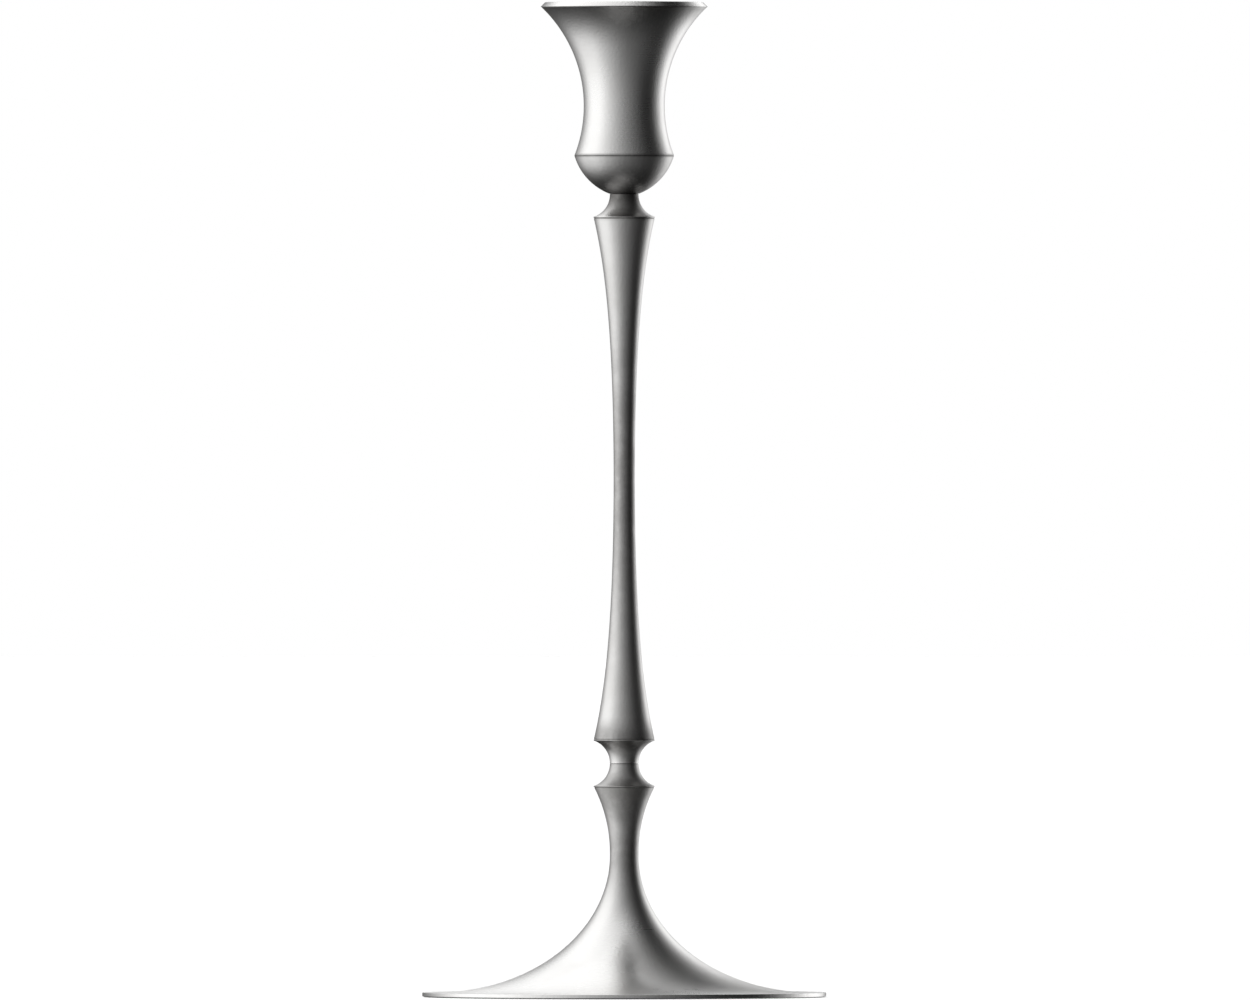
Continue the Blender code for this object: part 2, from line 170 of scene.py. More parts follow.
def turned(name, outline, soft=0.2, segments=192, tarnishAndShadePlaces=(), centre=(0.0, 0.0), cutIn=None):
    # turns a closed outline about an upright axis
    # keeps on its points where it is worn (arris) and how much it is darkened: tarnish where polish can't
    # reach, and at each given place (r, z, reach, amount) tarnish at seams and bores, painted shade under the
    # rim, over the bowl, round the collars and along the shaft and column
    # cutIn: gives how deep a thread, knurl or casting mark goes at (r, z, angle)
    smooth, corners = softened(outline, soft)
    way = 1 if turnedArea(outline) > 0 else -1
    convex = [(r, z) for r, z, turn in corners if turn * way > 0]
    tarnishAndShadeSpots = [(r, z, wearReach["tarnishAndShade"], 1.0) for r, z, turn in corners if turn * way < 0] + list(tarnishAndShadePlaces)
    body = bmesh.new()
    arris = body.verts.layers.float.new("arris")
    tarnishAndShade = body.verts.layers.float.new("tarnishAndShade")
    rings = []
    for r, z in guarded(smooth):
        worn = max([closeness(r - a, z - b, wearReach["arris"]) for a, b in convex], default=0.0)
        # how dark the silver is here, from tarnish and from painted shade
        tarnishAndShadeAmount = max([much * closeness(r - a, z - b, wide) for a, b, wide, much in tarnishAndShadeSpots], default=0.0)
        count = 1 if r < 1e-6 else segments
        ring = []
        for step in range(count):
            angle = 2 * pi * step / segments
            reach = r - cutIn(r, z, angle) if cutIn else r
            x = centre[0] + reach * cos(angle)
            y = centre[1] + reach * sin(angle)
            vert = body.verts.new((x * mm, y * mm, z * mm))
            vert[arris] = worn
            vert[tarnishAndShade] = tarnishAndShadeAmount
            ring.append(vert)
        rings.append(ring)
    for ring, following in zip(rings, rings[1:] + rings[:1]):
        if len(ring) == 1 and len(following) == 1:
            continue
        for step in range(segments):
            nextStep = (step + 1) % segments
            face = [ring[step % len(ring)], ring[nextStep % len(ring)],
                    following[nextStep % len(following)], following[step % len(following)]]
            body.faces.new(list(dict.fromkeys(face)))
    return finished(name, body)


def finished(name, body):
    # closes a piece's mesh and puts it in the scene
    bmesh.ops.recalc_face_normals(body, faces=body.faces)
    mesh = bpy.data.meshes.new(name)
    body.to_mesh(mesh)
    body.free()
    smoothed(mesh)
    piece = bpy.data.objects.new(name, mesh)
    bpy.context.scene.collection.objects.link(piece)
    return piece


def smoothed(mesh):
    mesh.shade_smooth()
    mesh.set_sharp_from_angle(angle=radians(35))


def carved(piece, *cutters):
    # takes the cutters' shapes out of a piece for good
    for cutter in cutters:
        change = piece.modifiers.new("carve", 'BOOLEAN')
        change.operation = 'DIFFERENCE'
        change.solver = 'EXACT'
        change.object = cutter
    bpy.context.view_layer.update()
    seen = bpy.context.evaluated_depsgraph_get()
    mesh = bpy.data.meshes.new_from_object(piece.evaluated_get(seen))
    piece.modifiers.clear()
    piece.data = mesh
    smoothed(mesh)
    for cutter in cutters:
        bpy.data.objects.remove(cutter)


def fitOut(piece, material, slotName, body, *nodes):
    # gives a finished piece its finish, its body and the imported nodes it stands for
    piece.data.materials.clear()
    piece.data.materials.append(material)
    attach(piece, body)
    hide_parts(*nodes)


# Node helpers

def put(tree, kind, **values):
    node = tree.nodes.new(kind)
    for key, value in values.items():
        setattr(node, key, value)
    return node


def feed(tree, source, target):
    # source may be a socket or a plain number or colour
    if hasattr(source, "links"):
        tree.links.new(source, target)
    else:
        target.default_value = source


def calc(tree, operation, a, b=0.0, clamp=False):
    node = put(tree, "ShaderNodeMath", operation=operation, use_clamp=clamp)
    feed(tree, a, node.inputs[0])
    feed(tree, b, node.inputs[1])
    return node.outputs[0]


def ease(tree, value, low, high, toLow=0.0, toHigh=1.0):
    # smooth step from toLow to toHigh as value goes from low to high
    node = put(tree, "ShaderNodeMapRange", interpolation_type='SMOOTHSTEP')
    for target, source in zip(node.inputs[:5], (value, low, high, toLow, toHigh)):
        feed(tree, source, target)
    return node.outputs[0]


def blendColour(tree, share, first, second):
    node = put(tree, "ShaderNodeMix", data_type='RGBA')
    feed(tree, share, node.inputs[0])
    feed(tree, first, node.inputs[6])
    feed(tree, second, node.inputs[7])
    return node.outputs[2]


def noise(tree, vector, scale, detail=2.0, roughness=0.5):
    node = put(tree, "ShaderNodeTexNoise")
    tree.links.new(vector, node.inputs["Vector"])
    node.inputs["Scale"].default_value = scale
    node.inputs["Detail"].default_value = detail
    node.inputs["Roughness"].default_value = roughness
    return node.outputs["Fac"]


def bump(tree, height, distance, strength=1.0, under=None):
    node = put(tree, "ShaderNodeBump")
    node.inputs["Strength"].default_value = strength
    node.inputs["Distance"].default_value = distance
    tree.links.new(height, node.inputs["Height"])
    if under is not None:
        tree.links.new(under, node.inputs["Normal"])
    return node.outputs["Normal"]


def turningCoordinates(tree, position, around=1.4):
    # position along the outline, with only a slow change around the axis: marks left by turning
    parts = put(tree, "ShaderNodeSeparateXYZ")
    tree.links.new(position, parts.inputs[0])
    x, y, z = parts.outputs
    squares = calc(tree, 'ADD', calc(tree, 'MULTIPLY', x, x), calc(tree, 'MULTIPLY', y, y))
    radius = calc(tree, 'MAXIMUM', calc(tree, 'SQRT', squares), 0.0002)
    across = calc(tree, 'MULTIPLY', calc(tree, 'DIVIDE', x, radius), around)
    along = calc(tree, 'MULTIPLY', calc(tree, 'DIVIDE', y, radius), around)
    joined = put(tree, "ShaderNodeCombineXYZ")
    tree.links.new(radius, joined.inputs[0])
    tree.links.new(z, joined.inputs[1])
    return joined.outputs[0], across, along


def turningMarks(tree, position, perMetre, detail=2.0):
    profile, across, along = turningCoordinates(tree, position)
    scaled = put(tree, "ShaderNodeVectorMath", operation='SCALE')
    tree.links.new(profile, scaled.inputs[0])
    scaled.inputs["Scale"].default_value = perMetre
    added = put(tree, "ShaderNodeVectorMath", operation='ADD')
    tree.links.new(scaled.outputs[0], added.inputs[0])
    lifted = put(tree, "ShaderNodeCombineXYZ")
    tree.links.new(across, lifted.inputs[2])
    tree.links.new(lifted.outputs[0], added.inputs[1])
    node = put(tree, "ShaderNodeTexNoise", noise_dimensions='4D')
    tree.links.new(added.outputs[0], node.inputs["Vector"])
    tree.links.new(along, node.inputs["W"])
    node.inputs["Scale"].default_value = 1.0
    node.inputs["Detail"].default_value = detail
    return node.outputs["Fac"]


def hairlines(tree, position, scale, width):
    # thin wandering scratches, where a slow noise passes its middle value
    slow = noise(tree, position, scale, 1.0)
    offset = calc(tree, 'ABSOLUTE', calc(tree, 'SUBTRACT', slow, 0.5))
    return ease(tree, offset, 0.0, width, 1.0, 0.0)


def startMaterial(name):
    material = bpy.data.materials.new(name)
    material.use_nodes = True
    tree = material.node_tree
    shader = tree.nodes["Principled BSDF"]
    position = put(tree, "ShaderNodeTexCoord").outputs["Object"]
    return material, tree, shader, position


# Silver plate

silverPlate = {
    "colour": (0.905, 0.90, 0.89, 1.0),
    "cloudColour": (0.80, 0.79, 0.77, 1.0),
    # dark colour of tarnish at seams and hollows, used also as painted shade under the rim, over the bowl,
    # round the collars and along the shaft and column
    "tarnishAndShadeColour": (0.165, 0.16, 0.155, 1.0),
    "roughness": 0.27,
    "smudge": 0.06,           # how much handling dulls the shine
    "tarnishRoughness": 0.45,
    "arrisPolish": 0.06,      # edges are rubbed brighter
    # each pattern: its scale to the metre, detail and roughness, or a scratch's scale and width
    "clouds": (34.0, 4.0, 0.6),        # broad clouds left by handling
    "patches": (150.0, 5.0, 0.65),     # where the tarnish and the painted shade are thinner
    "grain": (1150.0, 2.0, 0.65),      # fine satin grain, not quite 1 mm across
    "scratches": (95.0, 0.0025),
    "fineScratches": (260.0, 0.004),
    "broadMarks": (900.0, 2.0),        # left by turning
    "fineMarks": (4200.0, 1.0),
    # parts of a pattern's range over which it comes in, and how much it does
    "cloudRange": (0.42, 0.72),
    "cloudShare": 0.55,
    "smudgeRange": (0.35, 0.75),
    "patchRange": (0.30, 0.62),
    "patchLeast": 0.75,
    "scratchDull": 0.04,
    "fineDull": 0.05,
    # each relief: its depth in metres and its strength
    "broadRelief": (0.000010, 0.6),
    "fineRelief": (0.000003, 0.5),
    "grainRelief": (0.000050, 1.0),
    "scratchRelief": (0.000003, -0.5),
    "fineScratchRelief": (0.000003, -0.4),
}


def makeSilver(name):
    s = silverPlate
    material, tree, shader, position = startMaterial(name)
    tarnishAndShade = put(tree, "ShaderNodeAttribute", attribute_name="tarnishAndShade").outputs["Fac"]
    arris = put(tree, "ShaderNodeAttribute", attribute_name="arris").outputs["Fac"]
    clouds = noise(tree, position, *s["clouds"])
    patches = noise(tree, position, *s["patches"])
    grain = noise(tree, position, *s["grain"])
    scratches = hairlines(tree, position, *s["scratches"])
    fineScratches = hairlines(tree, position, *s["fineScratches"])
    broadMarks = turningMarks(tree, position, *s["broadMarks"])
    fineMarks = turningMarks(tree, position, *s["fineMarks"])
    patchy = ease(tree, patches, *s["patchRange"], s["patchLeast"], 1.0)
    # painted shade and tarnish: the dark colour is mixed in patchily along the darkening attribute
    tarnishAndShadeMask = calc(tree, 'MULTIPLY', tarnishAndShade, patchy, clamp=True)
    cloudy = ease(tree, clouds, *s["cloudRange"], 0.0, s["cloudShare"])
    silver = blendColour(tree, cloudy, s["colour"], s["cloudColour"])
    tree.links.new(blendColour(tree, tarnishAndShadeMask, silver, s["tarnishAndShadeColour"]), shader.inputs["Base Color"])
    shader.inputs["Metallic"].default_value = 1.0
    dull = ease(tree, clouds, *s["smudgeRange"], s["roughness"], s["roughness"] + s["smudge"])
    dull = calc(tree, 'ADD', dull, calc(tree, 'MULTIPLY', scratches, s["scratchDull"]))
    fineDull = calc(tree, 'MULTIPLY', calc(tree, 'SUBTRACT', fineMarks, 0.5), s["fineDull"])
    dull = calc(tree, 'ADD', dull, fineDull)
    dull = calc(tree, 'SUBTRACT', dull, calc(tree, 'MULTIPLY', arris, s["arrisPolish"]))
    tarnishDull = calc(tree, 'MULTIPLY', tarnishAndShadeMask, s["tarnishRoughness"] - s["roughness"])
    dull = calc(tree, 'ADD', dull, tarnishDull, clamp=True)
    tree.links.new(dull, shader.inputs["Roughness"])
    relief = bump(tree, broadMarks, *s["broadRelief"])
    relief = bump(tree, fineMarks, *s["fineRelief"], relief)
    relief = bump(tree, grain, *s["grainRelief"], relief)
    relief = bump(tree, scratches, *s["scratchRelief"], relief)
    relief = bump(tree, fineScratches, *s["fineScratchRelief"], relief)
    tree.links.new(relief, shader.inputs["Normal"])
    return material


silver = makeSilver("silver plate")
print("silver made")


# Lift-out nozzle: drip pan and candle sleeve

panShape = {
    "thick": 1.6,             # edge, from its top face down to where it rests on the cup
    "bevel": 1.5,             # across the sloped edge
    "land": 1.3,              # level ring inside the bevel
    "rimEdge": 0.12,          # upright edge left under the bevel
    "dish": 0.6,              # fall towards the candle
    "dishHaste": 1.6,         # above 1, the dish is at its deepest before it comes to the bore
    "dishSteps": 8,
    "boreLip": 0.6,           # level ring round the bore
    "boreFall": 0.02,
    "bossR": 14.5,
    "bossTaper": 2.0,         # how far the boss widens up to the pan
    "soft": 0.22,
    "boreTarnish": (0.8, 0.5),         # how far tarnish reaches, and how strong it is
}


def makeDripPan(bore):
    s = panShape
    low, high, radius = span("drip_pan")
    under = high - s["thick"]
    outline = [
        (radius - s["bevel"], high),
        (radius, under + s["rimEdge"]),
        (radius, under),
        (s["bossR"] + s["bossTaper"], under),
        (s["bossR"], low),
        (bore, low),
        (bore, high - s["dish"] - s["boreFall"]),
    ]
    fallFrom = radius - s["bevel"] - s["land"]
    fallTo = bore + s["boreLip"]
    for step in range(s["dishSteps"] + 1):
        t = step / s["dishSteps"]
        drop = s["dish"] * (0.5 - 0.5 * cos(pi * min(1.0, (1 - t) * s["dishHaste"])))
        outline.append((fallTo + (fallFrom - fallTo) * t, high - drop))
    piece = turned("dripPan", outline, s["soft"], tarnishAndShadePlaces=[(bore, high - s["dish"], *s["boreTarnish"])])
    fitOut(piece, silver, "silver_plate", "nozzle", "drip_pan")


sleeveShape = {
    "bore": 11.2,
    "wall": 0.8,
    "floorZ": 294.3,
    "chamfer": 1.4,           # round the outside of its closed end
    "fillet": 0.5,            # round the floor of its bore
    "soft": 0.3,
    "floorTarnish": (3.0, 0.9),
}


def makeCandleSleeve():
    s = sleeveShape
    low, high, lipR = span("candle_sleeve")
    outer = s["bore"] + s["wall"]
    lipLow = high - s["wall"]
    outline = [
        (s["bore"], high),
        (lipR, high),
        (lipR, lipLow),
        (outer, lipLow),
        (outer, low + s["chamfer"]),
        (outer - s["chamfer"], low),
        (0.0, low),
        (0.0, s["floorZ"]),
        (s["bore"] - s["fillet"], s["floorZ"]),
        (s["bore"], s["floorZ"] + s["fillet"]),
    ]
    tarnishAndShadePlaces = [(s["bore"], s["floorZ"], *s["floorTarnish"])]
    piece = turned("candleSleeve", outline, s["soft"], tarnishAndShadePlaces=tarnishAndShadePlaces)
    fitOut(piece, silver, "silver_plate", "nozzle", "candle_sleeve")


makeDripPan(sleeveShape["bore"])
makeCandleSleeve()
print("nozzle made")


# Candle cup and bowl

halfGap = 0.17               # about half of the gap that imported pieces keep, mm
bowlTop = span("candle_cup")[0] - halfGap     # the shoulder that the cup sits on

cupShape = {
    "waistR": 13.42,
    "waistZ": 295.6,
    "arcR": 45.2,
    "wall": 1.6,
    "bore": 12.3,
    "recessR": 13.9,
    "recessTop": 283.3,
    "soft": 0.2,
    # painted shade round the rim and under it
    "rimPaintedShade": (7.0, 0.55),
    "seamTarnish": (0.5, 0.8),
}


def makeCandleCup():
    s = cupShape
    high = span("drip_pan")[1] - panShape["thick"] - seamGap
    low = bowlTop + seamGap
    outside = hollowSide(s["waistR"], s["waistZ"], s["arcR"], high, low, 56)
    reach = s["arcR"] + s["wall"]
    boreMeets = s["waistZ"] + sqrt(reach ** 2 - (s["waistR"] + s["arcR"] - s["bore"]) ** 2)
    inside = hollowSide(s["waistR"], s["waistZ"], s["arcR"], boreMeets, high, 28, s["wall"])
    outline = outside + [
        (s["recessR"], low),
        (s["recessR"], s["recessTop"]),
        (s["bore"], s["recessTop"]),
    ] + inside
    # painted shade round the rim, and a tarnished seam at the cup's foot
    tarnishAndShadePlaces = [(*outside[0], *s["rimPaintedShade"]), (*outside[-1], *s["seamTarnish"])]
    piece = turned("candleCup", outline, s["soft"], tarnishAndShadePlaces=tarnishAndShadePlaces)
    fitOut(piece, silver, "silver_plate", "candlestick", "candle_cup")


bowlShape = {
    "centreR": -2.09,
    "centreZ": 284.53,
    "arcR": 19.39,
    "wall": 2.2,
    "spigotR": 13.6,
    "spigotBore": 11.6,
    "floorZ": 269.6,
    "hole": 2.8,
    "soft": 0.15,
    "seamTarnish": (0.5, 0.8),
    # painted shade over the bowl's underside, down to the neck
    "neckPaintedShade": (14.0, 0.9),
}


def makeCupBowl():
    s = bowlShape
    high = span("cup_bowl")[1]
    low = meet("stem", "cup_bowl")[1]
    shoulder = bowlTop
    outside = roundSide(s["centreR"], s["centreZ"], s["arcR"], shoulder, low, 40)
    innerArc = s["arcR"] - s["wall"]
    meets = s["centreZ"] - sqrt(innerArc ** 2 - (s["spigotBore"] - s["centreR"]) ** 2)
    inside = roundSide(s["centreR"], s["centreZ"], innerArc, s["floorZ"], meets, 16)
    outline = [(s["spigotR"], high), (s["spigotR"], shoulder)] + outside + [
        (s["hole"], low),
        (s["hole"], s["floorZ"]),
    ] + inside + [(s["spigotBore"], high)]
    # a tarnished seam at the shoulder, and painted shade over the underside down to the neck
    tarnishAndShadePlaces = [(*outside[0], *s["seamTarnish"]), (*outside[-1], *s["neckPaintedShade"])]
    piece = turned("cupBowl", outline, s["soft"], tarnishAndShadePlaces=tarnishAndShadePlaces)
    fitOut(piece, silver, "silver_plate", "candlestick", "cup_bowl")


makeCandleCup()
makeCupBowl()
print("cup and bowl made")


# Stem

stemShape = {
    "neckR": 4.75,
    "upperArc": 7.77,
    "upperZ": 266.2,
    "collarTop": 258.79,
    "shaftR": 3.5,
    "shaftZ": 171.9,
    "swell": 1.017,
    "swellLength": 32.0,
    "collarLow": 85.06,
    "lowerArc": 7.95,
    "lowerZ": 77.52,
    "hole": 2.8,
    "topHoleEnd": 250.0,
    "lowHoleEnd": 96.0,
    "drillPoint": 1.5,
    "soft": 0.22,
    # painted shade on the neck under the bowl and on the lower neck over the collar
    "neckPaintedShade": (7.0, 1.0),
    "collarPaintedShade": (6.0, 0.9),
    "shaftPaintedShade": (62.0, 0.66),       # painted shade, darker where the shaft is slimmest
}


def shaftSide(s, steps):
    points = []
    for step in range(steps + 1):
        z = s["collarTop"] + (s["collarLow"] - s["collarTop"]) * step / steps
        swell = s["swell"] * (cosh((z - s["shaftZ"]) / s["swellLength"]) - 1)
        points.append((s["shaftR"] + swell, z))
    return points


def makeStem():
    s = stemShape
    low = meet("foot", "stem")[1]
    high = meet("stem", "cup_bowl")[0]
    outline = hollowSide(s["neckR"], s["upperZ"], s["upperArc"], high, s["collarTop"], 22)[:-1]
    shaft = scored(shaftSide(s, 110), s["collarTop"] - toolLine["from"])
    outline += scored(shaft, s["collarLow"] + toolLine["from"])
    outline += hollowSide(s["neckR"], s["lowerZ"], s["lowerArc"], s["collarLow"], low, 22)[1:]
    outline += [
        (s["hole"], low),
        (s["hole"], s["lowHoleEnd"]),
        (0.0, s["lowHoleEnd"] + s["drillPoint"]),
        (0.0, s["topHoleEnd"] - s["drillPoint"]),
        (s["hole"], s["topHoleEnd"]),
        (s["hole"], high),
    ]
    # painted shade on the top neck, over the lower collar and along the slim shaft
    tarnishAndShadePlaces = [
        (s["neckR"], high, *s["neckPaintedShade"]),
        (s["neckR"] + 2.0, s["collarLow"], *s["collarPaintedShade"]),
        (s["shaftR"], s["shaftZ"], *s["shaftPaintedShade"]),
    ]
    piece = turned("stem.turned", outline, s["soft"], tarnishAndShadePlaces=tarnishAndShadePlaces)
    fitOut(piece, silver, "silver_plate", "candlestick", "stem")


makeStem()
print("stem made")


# Foot

footShape = {
    "columnArc": 47.47,
    "columnZ": 47.85,
    "columnTop": 69.96,
    "wide": 57.74,            # half axes of the flare's sweep
    "tall": 45.42,
    "edge": 1.5,
    "wall": 2.0,
    "recessR": 49.8,
    "recessTop": 1.3,
    "ledgeR": 42.3,
    "ledgeZ": 2.6,
    "cavityTop": 27.5,
    "soft": 0.22,
    "jointTarnish": (1.2, 0.6),
    # painted shade at the top of the column and round its waist
    "columnPaintedShade": (21.0, 0.62),
    "waistPaintedShade": (13.5, 0.60),
}


def flareSide(s, first, last, steps, inset=0.0):
    # quarter of an ellipse, from its upright end (0 degrees) to its level end (90)
    centreR = stemShape["neckR"] + s["wide"]
    centreZ = s["edge"] + s["tall"]
    points = []
    for step in range(steps + 1):
        angle = radians(first + (last - first) * step / steps)
        r = centreR - (s["wide"] + inset) * cos(angle)
        z = centreZ - (s["tall"] + inset) * sin(angle)
        points.append((r, z))
    return points


def flareAngle(s, z, inset):
    return degrees(asin((s["edge"] + s["tall"] - z) / (s["tall"] + inset)))


def makeFoot():
    s = footShape
    neck = stemShape
    low, _, radius = span("foot")
    high = meet("foot", "stem")[0]
    outline = hollowSide(neck["neckR"], neck["lowerZ"], neck["lowerArc"], high, s["columnTop"], 22)[:-1]
    column = hollowSide(neck["neckR"], s["columnZ"], s["columnArc"], s["columnTop"], s["columnZ"], 26)
    outline += scored(column, s["columnTop"] - toolLine["from"])
    outline += flareSide(s, 0.0, 90.0, 90)
    outline += [
        (radius, s["edge"]),
        (radius, low),
        (s["recessR"], low),
        (s["recessR"], s["recessTop"]),
        (s["ledgeR"], s["recessTop"]),
        (s["ledgeR"], s["ledgeZ"]),
    ]
    lowAngle = flareAngle(s, s["ledgeZ"], s["wall"])
    topAngle = flareAngle(s, s["cavityTop"], s["wall"])
    outline += flareSide(s, lowAngle, topAngle, 20, s["wall"])
    outline += [(neck["hole"], s["cavityTop"]), (neck["hole"], high)]
    # a tarnished joint, and painted shade at the column's top and waist
    tarnishAndShadePlaces = [
        (neck["neckR"], high, *s["jointTarnish"]),
        (neck["neckR"] + 4.0, s["columnTop"] - 4.0, *s["columnPaintedShade"]),
        (neck["neckR"], s["columnZ"], *s["waistPaintedShade"]),
    ]
    piece = turned("foot.turned", outline, s["soft"], tarnishAndShadePlaces=tarnishAndShadePlaces)
    fitOut(piece, silver, "silver_plate", "candlestick", "foot")


makeFoot()
print("foot made")


# Steel, cast iron and felt

steelFinish = {
    "colour": (0.56, 0.57, 0.585, 1.0),
    "dullColour": (0.40, 0.405, 0.41, 1.0),
    "wornColour": (0.70, 0.70, 0.70, 1.0),
    "grimeColour": (0.09, 0.08, 0.07, 1.0),
    "roughness": (0.30, 0.48),
    "clouds": (220.0, 4.0, 0.6),
    "specks": (1400.0, 3.0, 0.6),
    "scratches": (420.0, 0.006),
    "marks": (5200.0, 1.0),            # left by turning
    "dullRange": (0.40, 0.66),
    "roughRange": (0.36, 0.68),
    "wornShare": 0.6,
    "grimeRange": (0.35, 0.65),
    "grimeLeast": 0.5,
    "scratchDull": 0.10,
    "grimeDull": 0.25,
    "marksRelief": (0.000008, 0.6),
    "specksRelief": (0.000010, 0.5),
    "scratchRelief": (0.000006, -0.6),
}


def makeSteel():
    s = steelFinish
    material, tree, shader, position = startMaterial("zinc plated steel")
    tarnishAndShade = put(tree, "ShaderNodeAttribute", attribute_name="tarnishAndShade").outputs["Fac"]
    arris = put(tree, "ShaderNodeAttribute", attribute_name="arris").outputs["Fac"]
    clouds = noise(tree, position, *s["clouds"])
    specks = noise(tree, position, *s["specks"])
    scratches = hairlines(tree, position, *s["scratches"])
    marks = turningMarks(tree, position, *s["marks"])
    colour = blendColour(tree, ease(tree, clouds, *s["dullRange"]), s["colour"], s["dullColour"])
    colour = blendColour(tree, calc(tree, 'MULTIPLY', arris, s["wornShare"]), colour, s["wornColour"])
    speckled = ease(tree, specks, *s["grimeRange"], s["grimeLeast"], 1.0)
    grime = calc(tree, 'MULTIPLY', tarnishAndShade, speckled, clamp=True)
    tree.links.new(blendColour(tree, grime, colour, s["grimeColour"]), shader.inputs["Base Color"])
    shader.inputs["Metallic"].default_value = 1.0
    dull = ease(tree, clouds, *s["roughRange"], *s["roughness"])
    dull = calc(tree, 'ADD', dull, calc(tree, 'MULTIPLY', scratches, s["scratchDull"]))
    dull = calc(tree, 'ADD', dull, calc(tree, 'MULTIPLY', grime, s["grimeDull"]), clamp=True)
    tree.links.new(dull, shader.inputs["Roughness"])
    relief = bump(tree, marks, *s["marksRelief"])
    relief = bump(tree, specks, *s["specksRelief"], relief)
    relief = bump(tree, scratches, *s["scratchRelief"], relief)
    tree.links.new(relief, shader.inputs["Normal"])
    return material


ironFinish = {
    "colour": (0.115, 0.115, 0.12, 1.0),
    "skinColour": (0.060, 0.060, 0.065, 1.0),
    "rustColour": (0.17, 0.075, 0.035, 1.0),
    "roughness": (0.58, 0.86),
    "metallic": (0.85, 0.05),          # clean, and where it is rusty
    "lumps": (260.0, 5.0, 0.62),
    "sand": (1500.0, 4.0, 0.7),
    "rust": (90.0, 5.0, 0.7),
    "rustRange": (0.56, 0.72),
    "skinRange": (0.38, 0.66),
    "roughRange": (0.30, 0.70),
    "lumpsRelief": (0.00030, 0.7),
    "sandRelief": (0.00012, 0.8),
}


def makeIron():
    s = ironFinish
    material, tree, shader, position = startMaterial("cast iron")
    lumps = noise(tree, position, *s["lumps"])
    sand = noise(tree, position, *s["sand"])
    rusty = ease(tree, noise(tree, position, *s["rust"]), *s["rustRange"])
    colour = blendColour(tree, ease(tree, lumps, *s["skinRange"]), s["skinColour"], s["colour"])
    tree.links.new(blendColour(tree, rusty, colour, s["rustColour"]), shader.inputs["Base Color"])
    tree.links.new(ease(tree, rusty, 0.0, 1.0, *s["metallic"]), shader.inputs["Metallic"])
    tree.links.new(ease(tree, sand, *s["roughRange"], *s["roughness"]), shader.inputs["Roughness"])
    relief = bump(tree, lumps, *s["lumpsRelief"])
    relief = bump(tree, sand, *s["sandRelief"], relief)
    tree.links.new(relief, shader.inputs["Normal"])
    return material


feltFinish = {
    "colour": (0.022, 0.068, 0.038, 1.0),
    "lightColour": (0.060, 0.135, 0.085, 1.0),
    "stretch": (1.0, 0.14, 1.0),   # fibres are about seven times as long as thick
    "turns": (0.0, 57.0, 118.0),   # directions that the fibres lie in, degrees
    "fibres": (3200.0, 2.0, 0.6),
    "matted": (420.0, 4.0, 0.65),
    "lightRange": (0.52, 0.74),
    "roughRange": (0.3, 0.7),
    "roughness": (0.86, 1.0),
    "mattedRelief": (0.00025, 0.7),
    "fibresRelief": (0.00016, 0.9),
    "sheen": 0.5,
    "sheenRoughness": 0.45,
    "gloss": 0.2,
}


def makeFelt():
    s = feltFinish
    material, tree, shader, position = startMaterial("green felt")
    matted = noise(tree, position, *s["matted"])
    fibres = matted
    for turn in s["turns"]:
        laid = put(tree, "ShaderNodeMapping")
        laid.inputs["Rotation"].default_value = (0.0, 0.0, radians(turn))
        laid.inputs["Scale"].default_value = s["stretch"]
        tree.links.new(position, laid.inputs["Vector"])
        fibres = calc(tree, 'MAXIMUM', fibres, noise(tree, laid.outputs[0], *s["fibres"]))
    colour = blendColour(tree, ease(tree, fibres, *s["lightRange"]), s["colour"], s["lightColour"])
    tree.links.new(colour, shader.inputs["Base Color"])
    tree.links.new(ease(tree, matted, *s["roughRange"], *s["roughness"]), shader.inputs["Roughness"])
    shader.inputs["Sheen Weight"].default_value = s["sheen"]
    shader.inputs["Sheen Roughness"].default_value = s["sheenRoughness"]
    shader.inputs["Specular IOR Level"].default_value = s["gloss"]
    relief = bump(tree, matted, *s["mattedRelief"])
    relief = bump(tree, fibres, *s["fibresRelief"], relief)
    tree.links.new(relief, shader.inputs["Normal"])
    return material


steel = makeSteel()
iron = makeIron()
felt = makeFelt()
print("steel, iron and felt made")


# Threads, slots and sockets

threadShape = {
    "deep": 0.54,             # of the pitch
    "slope": 1.3,
    "crest": 0.15,            # how much of the crest is flat
    "steps": 6,               # points down each turn
}


def lineUp(low, high, count):
    # evenly spaced heights from high down to low
    return [high + (low - high) * step / count for step in range(count + 1)]


def threadedRun(r, low, high, pitch):
    # points down a threaded length, close enough to carry the thread's shape
    return [(r, z) for z in lineUp(low, high, int((high - low) / pitch * threadShape["steps"]))]


def threadDepth(r, z, angle, majorR, low, high, pitch):
    # right-hand thread that runs out over its last turn at each end
    s = threadShape
    if abs(r - majorR) > 0.01 or not low < z < high:
        return 0.0
    fade = min(1.0, (high - z) / pitch, (z - low) / pitch)
    turn = (z / pitch - angle / (2 * pi)) % 1.0
    flank = min(1.0, max(0.0, s["slope"] * abs(2 * turn - 1) - s["crest"]))
    return s["deep"] * pitch * fade * flank


def slotCutter(length, width, low, high, centre=(0.0, 0.0)):
    bar = bmesh.new()
    bmesh.ops.create_cube(bar, size=1.0)
    bmesh.ops.scale(bar, vec=(length * mm, width * mm, (high - low) * mm), verts=bar.verts)
    bmesh.ops.translate(bar, vec=(centre[0] * mm, centre[1] * mm, (high + low) / 2 * mm), verts=bar.verts)
    return finished("slotCutter", bar)


# Cup screw, base bolt and cover screws

